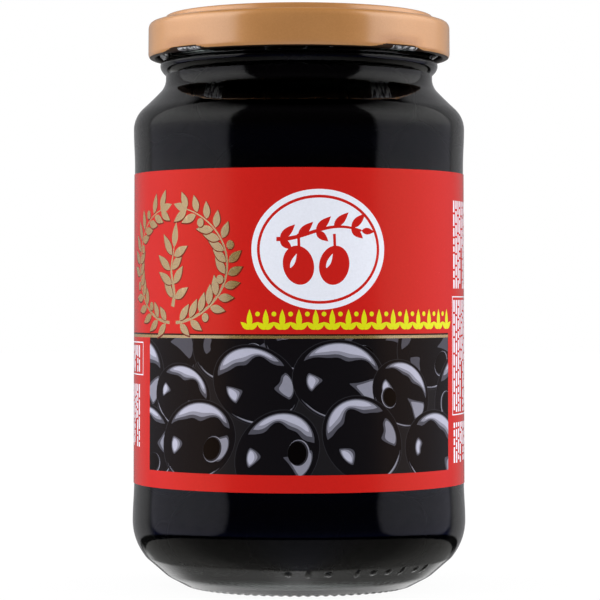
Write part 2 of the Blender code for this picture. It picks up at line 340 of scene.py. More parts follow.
corners = []
for i in range(TABLE_SIDES):
    angle = TURN * i / TABLE_SIDES
    corners.append((TABLE_RADIUS * MM * math.cos(angle), TABLE_RADIUS * MM * math.sin(angle), 0.0))
table_mesh = bpy.data.meshes.new("table")
table_mesh.from_pydata(corners, [], [range(TABLE_SIDES)])
table = bpy.data.objects.new("table", table_mesh)
bpy.context.scene.collection.objects.link(table)

white_paper, tree = new_material("white background paper")
matt = add_node(tree, "ShaderNodeBsdfDiffuse", {"Color": linear("#f2f2f2")})
glow = add_node(tree, "ShaderNodeEmission", {"Color": linear("#ffffff"), "Strength": 1.02})
gone = add_node(tree, "ShaderNodeBsdfTransparent", {"Color": linear("#ffffff")})
ray = add_node(tree, "ShaderNodeLightPath")
paper = add_node(tree, "ShaderNodeMixShader", {0: TABLE_GLOW, 1: matt, 2: glow})
paper = add_node(tree, "ShaderNodeMixShader", {0: ray.outputs["Is Camera Ray"], 1: gone, 2: paper})
add_node(tree, "ShaderNodeOutputMaterial", {"Surface": paper})
table_mesh.materials.append(white_paper)
table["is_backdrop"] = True
print("table radius:", TABLE_RADIUS, "mm")

# %% [markdown]
# ## Drawing an outline
#
# A blown jar and a pressed lid have an outline of straight spans, arcs and soft corners. These helpers draw
# such outlines as points (r, z): the distance from the axis, and the height.

# %% Draw and divide an outline
def arc(centre, radius, start, end, steps):
    """Points on a circle round centre, from the angle start to end, from the +r side."""
    for i in range(steps + 1):
        angle = start + (end - start) * i / steps
        yield (centre[0] + radius * math.cos(angle), centre[1] + radius * math.sin(angle))


def rounded(corners, steps=6):
    """The outline through (r, z, rounding) corners, with each corner rounded by that much."""
    yield corners[0][:2]
    for before, here, after in zip(corners, corners[1:], corners[2:]):
        start = Vector(before[:2]) - Vector(here[:2])
        end = Vector(after[:2]) - Vector(here[:2])
        reach = min(here[2], 0.49 * start.length, 0.49 * end.length)
        if reach == 0:
            yield here[:2]
            continue
        start = Vector(here[:2]) + start.normalized() * reach
        end = Vector(here[:2]) + end.normalized() * reach
        for i in range(steps + 1):
            t = i / steps
            point = start * (1 - t) ** 2 + Vector(here[:2]) * 2 * t * (1 - t) + end * t * t
            yield tuple(point)
    yield corners[-1][:2]


def smooth(share):
    """An S-curve from 0 to 1."""
    share = min(max(share, 0.0), 1.0)
    return share * share * (3 - 2 * share)


def cut_long(points, longest):
    """The same outline with its long straight spans cut. longest(z) is the greatest length at a height."""
    points = list(points)
    for (r0, z0), (r1, z1) in zip(points, points[1:]):
        steps = max(1, math.ceil(math.hypot(r1 - r0, z1 - z0) / longest((z0 + z1) / 2)))
        for i in range(steps):
            yield (r0 + (r1 - r0) * i / steps, z0 + (z1 - z0) * i / steps)
    yield points[-1]


print("a quarter arc:", list(arc((0, 0), 1, 0, math.pi / 2, 1)))

# %% [markdown]
# ## Turning a profile
#
# The jar and the lid are both bodies of revolution, so one function turns them all: it takes half of the
# outline, from the axis and back to it, and carries it round. Blender's Screw modifier could do the same,
# but here each point may also be pushed a little by its angle. That puts threads, mould marks and pressed
# lugs into the surface itself, with no seams and no Boolean cuts.

# %% Build a turned piece
def finish_mesh(name, points, faces, finishes, sharp=35):
    """A smooth-shaded object from points in millimetres, with its materials."""
    mesh = bpy.data.meshes.new(name)
    mesh.from_pydata([Vector(p) * MM for p in points], [], faces)
    shape = bmesh.new()
    shape.from_mesh(mesh)
    bmesh.ops.recalc_face_normals(shape, faces=shape.faces)
    shape.to_mesh(mesh)
    shape.free()
    mesh.shade_smooth()
    mesh.set_sharp_from_angle(angle=math.radians(sharp))
    for finish in finishes:
        mesh.materials.append(finish)
    made = bpy.data.objects.new(name, mesh)
    bpy.context.scene.collection.objects.link(made)
    print(name, len(mesh.polygons), "faces")
    return made


def turned(name, profile, turns, finishes, push=None):
    """Turns a profile that starts and ends on the axis. push(angle, r, z) may move each point."""
    count = len(turns)
    points, rings, faces = [], [], []
    for r, z in profile:
        if r == 0:
            rings.append([len(points)] * count)
            points.append((0.0, 0.0, z))
            continue
        rings.append(range(len(points), len(points) + count))
        for angle in turns:
            rr, zz = push(angle, r, z) if push else (r, z)
            points.append((rr * math.sin(angle), -rr * math.cos(angle), zz))
    for low, high in zip(rings, rings[1:]):
        for i in range(count):
            j = (i + 1) % count
            corners = [low[i], low[j], high[j], high[i]]
            faces.append(list(dict.fromkeys(corners)))
    return finish_mesh(name, points, faces, finishes)


def even_turns(count):
    """Angles at equal steps all round."""
    return [TURN * i / count for i in range(count)]


print("four even turns:", [round(math.degrees(turn)) for turn in even_turns(4)])

# %% [markdown]
# ## The glass, outside
#
# The jar stands on a narrow ring with a pushed-up base inside it. From there a cone rises to the round heel.
# Two guard rings, one over the heel and one under the shoulder, stand a little proud so that the label
# between them isn't scuffed. The shoulder runs in a soft cone to the neck, which carries the transfer bead,
# the threads and the rim. The outline is written in the order in which a potter would say it, from the
# middle of the base to the rim.

# %% Name the jar's outer sizes
HEEL_RING = (36.65, 14.5)  # radius and height
SHOULDER_RING = (36.38, 100.15)
PANEL_FADE = 8.3  # height over which a ring fades into the panel
PAPER_THICKNESS = 0.1
PAPER_BOTTOM = (36.46, 22.8)  # outer radius and height of the label's lower edge
PAPER_TOP = (36.27, 90.3)
BEHIND_PAPER = 0.02  # the glue's thickness
PUSH_UP = 2.2
FOOT_CORNERS = [  # radius, height, rounding
    (21.6, 0.35, 0.0), (22.3, 0.0, 0.4), (24.7, 0.0, 0.5),
    (25.6, 0.55, 0.4), (29.1, 2.4, 0.9), (33.8, 6.5, 1.6),
]
HEEL_CURVE = 12.4
HEEL_LEAN = math.radians(36)  # how far the wall has leaned in where the heel's long curve ends
SHOULDER_BENDS = (6.2, math.radians(48), math.radians(43.5), 4.3)  # curve, lean, lean further up, curve
NECK_RADIUS = 29.33
MOUTH_RADIUS = 26.2
BEAD = (30.55, 114.2, 1.05)  # radius, height, half its width
BEAD_FILLET = 2.0  # how far the hollow curve under the bead reaches down
RIM = (28.8, 123.5, 0.8)  # outer radius, height, curve


def paper_radius(z):
    """The label's outer radius: the wall behind it widens slightly downwards."""
    share = (z - PAPER_BOTTOM[1]) / (PAPER_TOP[1] - PAPER_BOTTOM[1])
    return PAPER_BOTTOM[0] + (PAPER_TOP[0] - PAPER_BOTTOM[0]) * share


def wall_radius(z):
    """The glass's outer radius behind the label."""
    return paper_radius(z) - PAPER_THICKNESS - BEHIND_PAPER


print("wall behind the label:", [round(wall_radius(z), 2) for z in (PAPER_BOTTOM[1], PAPER_TOP[1])])

# %% Draw the outer profile
FINE = 0.4  # length of the outline's spans where the surface has relief
COARSE = 2.5


def shoulder(ring, neck_radius, bends, steps=10):
    """The way from the shoulder's ring up to the neck: a curve, a nearly straight cone, a hollow curve."""
    low_curve, lean, upper_lean, high_curve = bends
    yield from arc((ring[0] - low_curve, ring[1]), low_curve, 0.0, lean, steps)
    r = ring[0] - low_curve * (1 - math.cos(lean))
    z = ring[1] + low_curve * math.sin(lean)
    still_to_go = r - neck_radius - high_curve * (1 - math.cos(upper_lean))
    for i in range(steps):
        here = lean + (upper_lean - lean) * (i + 0.5) / steps
        r -= still_to_go / steps
        z += still_to_go / steps / math.tan(here)
        yield (r, z)
    centre = (neck_radius + high_curve, z + high_curve * math.sin(upper_lean))
    yield from list(arc(centre, high_curve, math.pi + upper_lean, math.pi, steps))[1:]


def jar_outside():
    """The outer outline, from the middle of the base to the rim."""
    for i in range(10):
        share = i / 10
        yield (FOOT_CORNERS[1][0] * share, PUSH_UP * (1 - share ** 4))
    heel_foot = (
        HEEL_RING[0] - HEEL_CURVE * (1 - math.cos(HEEL_LEAN)),
        HEEL_RING[1] - HEEL_CURVE * math.sin(HEEL_LEAN),
        0.0,
    )
    yield from rounded([*FOOT_CORNERS, heel_foot])
    centre = (HEEL_RING[0] - HEEL_CURVE, HEEL_RING[1])
    yield from list(arc(centre, HEEL_CURVE, -HEEL_LEAN, 0.0, 20))[1:]
    for i in range(1, 9):
        z = HEEL_RING[1] + PANEL_FADE * i / 8
        yield (HEEL_RING[0] + (wall_radius(z) - HEEL_RING[0]) * smooth(i / 8), z)
    for i in range(9):
        z = SHOULDER_RING[1] - PANEL_FADE * (1 - i / 8)
        yield (wall_radius(z) + (SHOULDER_RING[0] - wall_radius(z)) * smooth(i / 8), z)
    yield from list(shoulder(SHOULDER_RING, NECK_RADIUS, SHOULDER_BENDS))[1:]
    for i in range(17):
        lean = -math.pi / 2 + math.pi * i / 16
        reach, hollow = (BEAD_FILLET, 2.0) if lean < 0 else (BEAD[2], 0.5)
        bulge = (BEAD[0] - NECK_RADIUS) * max(math.cos(lean), 0.0) ** hollow
        yield (NECK_RADIUS + bulge, BEAD[1] + reach * math.sin(lean))
    yield (NECK_RADIUS, RIM[1] - RIM[2] - 1.0)
    yield from arc((RIM[0] - RIM[2], RIM[1] - RIM[2]), RIM[2], 0.0, math.pi / 2, 5)


outside = list(cut_long(jar_outside(), lambda z: FINE if z < 1 or 3 < z < 9 or z > 114 else COARSE))
print("outer profile:", len(outside), "points, widest", round(max(r for r, z in outside), 2), "mm")

# %% [markdown]
# ## The glass, inside
#
# A press and a blow shape the inside, which follows the outside softly: about 2.3 mm of wall, more in the
# corners, and a clear bottom over the push-up that catches the light under the dark brine.

# %% Draw the inner profile
WALL = 2.3
FLOOR_RADIUS = 21.0
FLOOR_HEIGHT = 4.0
FLOOR_RISE = 2.0
BOWL_TOP = 15.5  # height at which the wall starts to thicken into the bottom
BODY_RADIUS = 35.95 - WALL


def jar_inside():
    """The inner outline, from the rim down to the middle of the floor."""
    yield from arc((MOUTH_RADIUS + RIM[2], RIM[1] - RIM[2]), RIM[2], math.pi / 2, math.pi, 5)
    low_curve, lean, upper_lean, high_curve = SHOULDER_BENDS
    bends = (low_curve - WALL, lean, upper_lean, high_curve + WALL)
    yield from reversed(list(shoulder((BODY_RADIUS, SHOULDER_RING[1]), MOUTH_RADIUS, bends)))
    for i in range(17):
        angle = math.pi / 2 * i / 16
        r = FLOOR_RADIUS + (BODY_RADIUS - FLOOR_RADIUS) * math.cos(angle)
        yield (r, BOWL_TOP - (BOWL_TOP - FLOOR_HEIGHT) * math.sin(angle))
    for i in range(7, -1, -1):
        share = i / 8
        yield (FLOOR_RADIUS * share, FLOOR_HEIGHT + FLOOR_RISE * (1 - share * share))


inside = list(cut_long(jar_inside(), lambda z: COARSE))


def inner_radius_at(height):
    """The inner wall's radius at a height, read along its profile."""
    for upper, lower in zip(inside, inside[1:]):
        if lower[1] <= height <= upper[1] and upper[1] > lower[1]:
            share = (height - lower[1]) / (upper[1] - lower[1])
            return lower[0] + share * (upper[0] - lower[0])
    return MOUTH_RADIUS


print("inner profile:", len(inside), "points; wall at mid-height", round(wall_radius(60) - BODY_RADIUS, 2))

# %% [markdown]
# ## Relief in the glass
#
# Three kinds of relief are pressed into the glass by its moulds: the threads on the finish, the fine knurling
# on the standing ring, and a row of small mould marks on the heel. Each is a rule that moves a point of the
# profile by its angle. The columns of the mesh stand closer where the marks are, so that they stay round.

# %% Threads, knurling and mould marks
THREADS = 4
THREAD_HEIGHT = 1.75
THREAD_HALF = 1.25
THREAD_SPAN = math.radians(62)
THREAD_START = math.radians(-105)
THREAD_LOW = 116.6
THREAD_RISE = 2.2
THREAD_TAPER = 0.12  # share of a thread over which each end runs out
FINISH_LOW = 115.3  # the threaded part of the neck starts here
KNURLS = 80  # one each 1.9 mm
KNURL_DEPTH = 0.26
KNURL_TOP = 1.0
KNURL_FADE = 0.9  # height over which the knurls fade out
KNURL_INNER = 22.0
MARK_HEIGHT = 5.6
MARK_LIFT = 0.3
MARK_EDGE = 1.6  # how steeply a mark rises from its rim
MARK_SLOPE = math.cos(math.radians(45))  # the cone that carries the marks leans by some 45 degrees
MARK_ZONE = (3.4, 8.2, 29.5)  # lowest and highest point, and least radius
MARK_TURNS = (-0.2, 1.1)  # the row's two ends, in radians
MARKS = [  # angle in degrees, and form
    (-4.0, "dot"), (3.5, "bar"), (11.0, "dot"), (22.0, "bar"), (28.5, "dot"), (35.0, "dot"), (41.5, "bar"),
    (49.0, "dot"), (54.5, "bar"),
]
MARK_SIZES = {"dot": (0.95, 0.95), "bar": (0.6, 1.5)}  # half width and half height


def thread_lift(angle, z):
    """How far a thread stands out of the neck."""
    lift = 0.0
    for number in range(THREADS):
        share = ((angle - THREAD_START - number * TURN / THREADS) % TURN) / THREAD_SPAN
        if share > 1:
            continue
        across = (z - THREAD_LOW - THREAD_RISE * share) / THREAD_HALF
        end = smooth(min(share, 1 - share) / THREAD_TAPER)
        if abs(across) < 1:
            lift = max(lift, THREAD_HEIGHT * end * (1 - across ** 2) ** 0.75)
    return lift


def mark_lift(angle, r, z):
    """How far a mould mark stands out of the heel."""
    lift = 0.0
    for degrees, form in MARKS:
        half_wide, half_high = MARK_SIZES[form]
        wide = (angle - math.radians(degrees)) * r / half_wide
        high = (z - MARK_HEIGHT) / MARK_SLOPE / half_high
        lift = max(lift, MARK_LIFT * smooth(MARK_EDGE * (1 - math.hypot(wide, high))))
    return lift


def press_glass(angle, r, z):
    """Moves a point of the glass's outer face by the relief at that angle."""
    signed = (angle + math.pi) % TURN - math.pi
    if z > FINISH_LOW and r > NECK_RADIUS - 0.1:
        return r + thread_lift(angle, z), z
    if MARK_ZONE[0] < z < MARK_ZONE[1] and r > MARK_ZONE[2] and MARK_TURNS[0] < signed < MARK_TURNS[1]:
        lift = mark_lift(signed, r, z) * MARK_SLOPE
        return r + lift, z - lift
    if z < KNURL_TOP and KNURL_INNER <= r < FOOT_CORNERS[3][0]:
        near = smooth((KNURL_TOP - z) / KNURL_FADE)
        return r, z + KNURL_DEPTH * near * (0.5 - 0.5 * math.cos(KNURLS * angle))
    return r, z


coarse_turns = [math.radians(60 + 1.125 * i) for i in range(260)]
fine_turns = [math.radians(-7.5 + 0.34 * i) for i in range(199)]
jar_turns = sorted({round(angle % TURN, 6) for angle in coarse_turns + fine_turns})
print("columns round the jar:", len(jar_turns))

# %% [markdown]
# ## Soda-lime glass
#
# Jars are pressed and blown from soda-lime glass, which bends light by 1.52 and is clear with a trace of
# green where it is thick. A fire-polished surface is very smooth, yet it waves slightly over some 12 mm,
# so the edges of the soft boxes wander a little in it: a low, wide noise bump does that. Faint smudges of
# handling, some 25 mm across, dull it here and there.
#
# Where brine wets the inner wall, the two bend light almost alike and the wall nearly disappears. Blender
# takes each surface as one against air, so the wetted part of the wall gets its own material, whose IOR is
# that of glass divided by that of brine. The thick bottom then guides light as a real one does.

# %% Make the glass materials
GLASS_IOR = 1.52
BRINE_IOR = 1.34
WAVE_LENGTH = 12.0
SMUDGE_SIZE = 25.0

jar_glass, tree = new_material("soda-lime glass")
place = add_node(tree, "ShaderNodeTexCoord").outputs["Object"]
waves = add_node(
    tree,
    "ShaderNodeTexNoise",
    {"Vector": place, "Scale": 1 / (WAVE_LENGTH * MM), "Detail": 1.5, "Roughness": 0.4},
)
bump = add_node(tree, "ShaderNodeBump", {"Height": waves, "Strength": 0.12, "Distance": 0.4 * MM})
smudges = add_node(
    tree,
    "ShaderNodeTexNoise",
    {"Vector": place, "Scale": 1 / (SMUDGE_SIZE * MM), "Detail": 4.0, "Roughness": 0.6},
)
polish = add_node(tree, "ShaderNodeMapRange", {"Value": smudges, "To Min": 0.0, "To Max": 0.05})
clear = add_node(
    tree,
    "ShaderNodeBsdfPrincipled",
    {
        "Base Color": linear("#eef9f7"),
        "Roughness": polish,
        "Transmission Weight": 1.0,
        "IOR": GLASS_IOR,
        "Specular IOR Level": 0.32,
        "Normal": bump,
    },
)
add_node(tree, "ShaderNodeOutputMaterial", {"Surface": clear})

wetted_glass, tree = new_material("soda-lime glass, wetted")
joined = add_node(
    tree,
    "ShaderNodeBsdfPrincipled",
    {
        "Base Color": linear("#ffffff"),
        "Roughness": 0.0,
        "Transmission Weight": 1.0,
        "IOR": GLASS_IOR / BRINE_IOR,
    },
)
add_node(tree, "ShaderNodeOutputMaterial", {"Surface": joined})
print("glass against air:", GLASS_IOR, "and against brine:", round(GLASS_IOR / BRINE_IOR, 3))

# %% Turn the glass
BRINE_LEVEL = 115.6

jar = turned("jar_glass_clear", outside + inside, jar_turns, [jar_glass, wetted_glass], press_glass)
for face in jar.data.polygons:
    x, y, z = face.center / MM
    r = math.hypot(x, y)
    wet = z < BRINE_LEVEL and r < inner_radius_at(z) + 0.02 and z > FLOOR_HEIGHT - 0.1
    face.material_index = 1 if wet else 0
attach(jar, "root")
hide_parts("jar_glass")
print("wetted faces:", sum(face.material_index for face in jar.data.polygons))

# %% [markdown]
# ## The olives
#
# Pitted black olives are plump ellipsoids with a hole punched through one end. Packed in a jar they press
# flat where they meet the glass. Rigid-body packing would take long and show nothing more, because the brine
# hides all but the outer layer: so the outer olives stand in rows against the wall, each one leaning its own
# way, and a plain core fills the middle. A point that would pass the wall is brought back to it, which
# makes the flat contact patches.

# %% Shape one olive
OLIVE_RADIUS = 8.3
OLIVE_HALF_LENGTH = 10.2
PIT_RADIUS = 2.6
PIT_DEPTH = 3.0
OLIVE_DETAIL = 4


def olive_points():
    """The points and faces of one olive that stands on its long axis, with the pit's hole at its top."""
    shape = bmesh.new()
    bmesh.ops.create_icosphere(shape, subdivisions=OLIVE_DETAIL, radius=1.0)
    points = []
    for vertex in shape.verts:
        x, y, z = vertex.co
        full = 1 + 0.06 * z  # a little fuller towards one end
        point = Vector((x * OLIVE_RADIUS * full, y * OLIVE_RADIUS * full, z * OLIVE_HALF_LENGTH))
        if z > 0:
            point.z -= PIT_DEPTH * smooth(1.3 - math.hypot(point.x, point.y) / PIT_RADIUS)
        points.append(point)
    faces = [[corner.index for corner in face.verts] for face in shape.faces]
    shape.free()
    return points, faces


olive_shape, olive_faces = olive_points()
print("points in an olive:", len(olive_shape))

# %% Pack the olives against the wall
OLIVE_ROWS = 7
OLIVES_IN_ROW = 9
OLIVE_HEIGHTS = (15.0, 105.5)
WALL_GAP = 0.3
FEEL = 4.0  # how far up and down an olive feels where the glass narrows


def within_jar(point):
    """Brings a point that is past the wall or the floor back to it."""
    z = max(point.z, FLOOR_HEIGHT + FLOOR_RISE + WALL_GAP)
    limit = min(inner_radius_at(level) for level in (z - FEEL, z, z + FEEL)) - WALL_GAP
    r = math.hypot(point.x, point.y)
    scale = min(1.0, limit / r) if r > 0 else 1.0
    return Vector((point.x * scale, point.y * scale, z))


chance = random.Random(7)
heap_points, heap_faces = [], []
for row in range(OLIVE_ROWS):
    height = OLIVE_HEIGHTS[0] + (OLIVE_HEIGHTS[1] - OLIVE_HEIGHTS[0]) * row / (OLIVE_ROWS - 1)
    for i in range(OLIVES_IN_ROW):
        angle = TURN * (i + 0.5 * (row % 2)) / OLIVES_IN_ROW + chance.uniform(-0.08, 0.08)
        middle = height + chance.uniform(-1.6, 1.6)
        size = chance.uniform(0.94, 1.05)
        r = inner_radius_at(middle) - OLIVE_RADIUS * size + 0.5
        place = Vector((r * math.sin(angle), -r * math.cos(angle), middle))
        lean = Matrix.Rotation(angle + chance.uniform(-0.3, 0.3), 3, "Z")
        lean = lean @ Matrix.Rotation(chance.uniform(0.15, 0.9) * math.pi, 3, "Y")
        start = len(heap_points)
        heap_points += [within_jar(place + lean @ (point * size)) for point in olive_shape]
        heap_faces += [[start + corner for corner in face] for face in olive_faces]
print("olives against the wall:", OLIVE_ROWS * OLIVES_IN_ROW)

# %% [markdown]
# ## Olive skin and brine
#
# Ripened olives that are oxidised in a lye bath turn an even blue-black with a soft, slightly pitted skin.
# They lie in brine that the colour has leaked into: a few millimetres of it let almost nothing through.
# Such a liquid is best drawn as a real volume: a surface that lets light in, and absorption that takes it
# away with depth. The brine reaches a hair into the glass, so that no air shows between them.

# %% Make the olive and brine materials
MOTTLE_SIZE = 3.0
PORE_SIZE = 0.8  # drawn coarser than the real 0.2 mm so that it shows

skin, tree = new_material("black olive skin")
place = add_node(tree, "ShaderNodeTexCoord").outputs["Object"]
mottle = add_node(
    tree, "ShaderNodeTexNoise", {"Vector": place, "Scale": 1 / (MOTTLE_SIZE * MM), "Detail": 5.0}
)
tone = add_node(tree, "ShaderNodeValToRGB", {"Fac": mottle}, [(0.3, "#0b090d"), (0.75, "#241c22")])
pores = add_node(tree, "ShaderNodeTexNoise", {"Vector": place, "Scale": 1 / (PORE_SIZE * MM), "Detail": 3.0})
bump = add_node(tree, "ShaderNodeBump", {"Height": pores, "Strength": 0.35, "Distance": 0.15 * MM})
body = add_node(
    tree,
    "ShaderNodeBsdfPrincipled",
    {
        "Base Color": tone,
        "Roughness": 0.42,
        "Specular IOR Level": 0.08,  # brine, not air, lies against the skin
        "Normal": bump,
    },
)
add_node(tree, "ShaderNodeOutputMaterial", {"Surface": body})

brine_stuff, tree = new_material("black olive brine")
liquid = add_node(
    tree,
    "ShaderNodeBsdfPrincipled",
    {"Base Color": linear("#ffffff"), "Roughness": 0.0, "Transmission Weight": 1.0, "IOR": 1.0},
)
darkness = add_node(tree, "ShaderNodeVolumeAbsorption", {"Color": linear("#7c5a48"), "Density": 2000.0})
add_node(tree, "ShaderNodeOutputMaterial", {"Surface": liquid, "Volume": darkness})
print("brine density:", darkness.inputs["Density"].default_value)

# %% Place the olives on their core
CORE_DEPTH = 7.5
CORE_SPAN = (9.0, 108.0)
CORE_RINGS = 12

core = [(0.0, CORE_SPAN[0])]
for i in range(CORE_RINGS + 1):
    z = CORE_SPAN[0] + (CORE_SPAN[1] - CORE_SPAN[0]) * i / CORE_RINGS
    core.append((inner_radius_at(z) - CORE_DEPTH, z))
core.append((0.0, CORE_SPAN[1]))
core_piece = turned("core", core, even_turns(48), [skin])
start = len(heap_points)
heap_points += [vertex.co / MM for vertex in core_piece.data.vertices]
heap_faces += [[start + corner for corner in face.vertices] for face in core_piece.data.polygons]
bpy.data.objects.remove(core_piece)
olives = finish_mesh("olives_black", heap_points, heap_faces, [skin], sharp=60)
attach(olives, "root")
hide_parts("olives")

# %% Pour the brine
INTO_WALL = 0.06
NEXT_BELOW = 0.5  # the wall's first point under the surface lies at least this far down

brine_profile = [(0.0, BRINE_LEVEL), (MOUTH_RADIUS + INTO_WALL, BRINE_LEVEL)]
brine_profile += [(r + INTO_WALL, z) for r, z in inside if z < BRINE_LEVEL - NEXT_BELOW and r > FLOOR_RADIUS]
brine_profile += [(r, z - INTO_WALL) for r, z in inside if r <= FLOOR_RADIUS]
brine = turned("brine", brine_profile, even_turns(240), [brine_stuff])
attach(brine, "root")
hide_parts("olives")

# %% [markdown]
# ## The lid
#
# A twist-off lid is pressed from tinplate. Its lower edge is curled outward-in, and at four places the curl
# is squeezed flat and inward into lugs that catch the threads. Each squeeze leaves a shallow dent above it
# in the skirt, and cracks the lacquer so that bare tin shows; that tin is drawn bright as painted glints.
# The top has a raised ring round a recessed middle. Corners of pressed sheet are always round, so every
# corner of the drawn outline is rounded.

# %% Shape the lid
LID_RADIUS = 33.2
LID_BOTTOM = 115.8
LUG_ANGLES = [math.radians(41 + 90 * i) for i in range(4)]
LUG_HALF_SPAN = math.radians(15)
LUG_DEPTH = 0.75
DENT_TOP = 118.9
DENT_DEPTH = 0.45
DENT_LIFT = 0.12
LUG_LIFT = 0.2  # share of that lift on the inner side
DENT_EDGE = 1.35  # how steeply a dent sinks in from its two sides
CURL_MIDDLE = 32.2  # the skirt is outside this radius, and the lugs are inside it
PRESSED_FROM = 30.0  # only the lid's edge, outside this radius, is pressed
LID_CORNERS = [  # radius, height, rounding
    (0.0, 124.6, 0),
    (24.6, 124.6, 0.5),
    (25.6, 125.25, 0.5),
    (29.35, 125.25, 0.5),
    (29.8, 123.9, 0.4),
    (LID_RADIUS - 0.05, 123.9, 1.75),
    (LID_RADIUS, 116.6, 0.45),
    (32.95, 116.0, 0.3),
    (32.5, LID_BOTTOM, 0.25),
    (31.8, LID_BOTTOM, 0.3),
    (31.4, 116.3, 0.3),
    (31.45, 117.4, 0.4),
    (32.75, 119.0, 0.5),
    (32.75, 123.4, 0.8),
    (29.1, 123.4, 0.2),
    (29.1, 123.75, 0.2),
    (0.0, 123.75, 0),
]


def off_lug(angle):
    """How far an angle is from the nearest lug."""
    return min(abs((angle - lug + math.pi) % TURN - math.pi) for lug in LUG_ANGLES)


def press_lid(angle, r, z):
    """The dents over the lugs, and the lugs themselves on the inner side of the curl."""
    near = smooth(DENT_EDGE * (1 - off_lug(angle) / LUG_HALF_SPAN))
    if near == 0 or z > DENT_TOP or r < PRESSED_FROM:
        return r, z
    low = smooth((DENT_TOP - z) / (DENT_TOP - LID_BOTTOM))
    outer = r > CURL_MIDDLE
    inward = DENT_DEPTH * low if outer else LUG_DEPTH * low
    return r - near * inward, z + near * DENT_LIFT * low * low * (1 if outer else LUG_LIFT)


SKIRT_SPAN = 0.7  # length of the outline's spans where the lid is pressed, below its top
TOP_SPAN = 2.0
SKIRT_TOP = 123.0
lid_profile = list(cut_long(rounded(LID_CORNERS), lambda z: SKIRT_SPAN if z < SKIRT_TOP else TOP_SPAN))
print("lid profile:", len(lid_profile), "points")

# %% [markdown]
# ## Lacquered tinplate
#
# The tinplate is roller-coated with a copper-gold lacquer that holds fine metal flakes, then varnished. To
# the eye that is a warm satin: a coloured metal sheen under a thin clear gloss, with a faint grain from the
# roller. A partly metallic Principled shader with a coat gives both layers. The flakes lie just under the
# varnish and mirror more than it would alone, so the coat's IOR is matched to the photograph at 2.9.
#
# Inside, the lid has a plainer lacquer; its dark brown is painted shade under the lid.
# The bared tin of the lugs is creased, and drawn bright as painted glints.

# %% Make the lacquer of the outside
GRAIN = 0.35  # millimetres, drawn coarser than the real 0.1 mm so that it shows
CLOUD_SIZE = 7.0

lacquer, tree = new_material("copper-gold lacquered tinplate")
place = add_node(tree, "ShaderNodeTexCoord").outputs["Object"]
grain = add_node(
    tree, "ShaderNodeTexNoise", {"Vector": place, "Scale": 1 / (GRAIN * MM), "Detail": 4.0, "Roughness": 0.7}
)
clouds = add_node(
    tree, "ShaderNodeTexNoise", {"Vector": place, "Scale": 1 / (CLOUD_SIZE * MM), "Detail": 3.0}
)
both = add_node(tree, "ShaderNodeMix", {"Factor": 0.4, "A": grain, "B": clouds}, data_type="FLOAT")
tone = add_node(tree, "ShaderNodeValToRGB", {"Fac": both}, [(0.3, "#f0a453"), (0.7, "#fdb160")])
bump = add_node(tree, "ShaderNodeBump", {"Height": both, "Strength": 0.12, "Distance": 0.05 * MM})
metal = add_node(
    tree,
    "ShaderNodeBsdfPrincipled",
    {
        "Base Color": tone,
        "Metallic": 0.3,
        "Roughness": 0.36,
        "Coat Weight": 1.0,
        "Coat IOR": 2.9,
        "Coat Roughness": 0.2,
        "Normal": bump,
    },
)
add_node(tree, "ShaderNodeOutputMaterial", {"Surface": metal})
print("lacquer nodes:", len(tree.nodes))

# %% Make the inside lacquer, with its painted shade, and the bare tin, with its painted glints
INSIDE_CLOUD_SIZE = 5.0
CREASE_SIZE = 0.9

inside_lacquer_painted_shade, tree = new_material("gold inside lacquer with painted shade")
place = add_node(tree, "ShaderNodeTexCoord").outputs["Object"]
clouds = add_node(
    tree, "ShaderNodeTexNoise", {"Vector": place, "Scale": 1 / (INSIDE_CLOUD_SIZE * MM), "Detail": 4.0}
)
# These dark browns stand for the shade under the lid: painted shade.
tone = add_node(tree, "ShaderNodeValToRGB", {"Fac": clouds}, [(0.0, "#2b1c12"), (1.0, "#4a3220")])
dull = add_node(
    tree,
    "ShaderNodeBsdfPrincipled",
    {"Base Color": tone, "Metallic": 0.3, "Roughness": 0.5, "Specular IOR Level": 0.3},
)
add_node(tree, "ShaderNodeOutputMaterial", {"Surface": dull})

bare_tin_painted_glints, tree = new_material("squeezed bare tinplate with painted glints")
place = add_node(tree, "ShaderNodeTexCoord").outputs["Object"]
crease_glints = add_node(
    tree, "ShaderNodeTexNoise", {"Vector": place, "Scale": 1 / (CREASE_SIZE * MM), "Detail": 3.0}
)
# The light end of this ramp, on the folds of the creased tin, is painted glints.
tone = add_node(tree, "ShaderNodeValToRGB", {"Fac": crease_glints}, [(0.4, "#3c3c40"), (0.6, "#f6f6f8")])
bump = add_node(tree, "ShaderNodeBump", {"Height": crease_glints, "Strength": 0.6, "Distance": 0.3 * MM})
tin = add_node(
    tree, "ShaderNodeBsdfPrincipled", {"Base Color": tone, "Metallic": 0.4, "Roughness": 0.3, "Normal": bump}
)
add_node(tree, "ShaderNodeOutputMaterial", {"Surface": tin})
print("bare tin nodes:", len(tree.nodes))

# %% Turn the lid and lacquer it
# Inside this radius, under the curl, the inside lacquer brings its painted shade.
LACQUER_SHADE_EDGE = 32.9  # the lacquer of the outside ends at this radius, under the curl
# These set where the bare tin, drawn bright as painted glints, shows beside each lug.
BARE_GLINT_HALF_SPAN = math.radians(6)
BARE_GLINT_SHIFT = math.radians(3)
BARE_GLINT_TOP = 116.5
FACING = -0.3  # a face with less than this of its normal outward or upward looks inward or down
TOP_PANEL = 123.5

lid = turned("lid_lacquered", lid_profile, even_turns(288), [lacquer, inside_lacquer_painted_shade, bare_tin_painted_glints], press_lid)
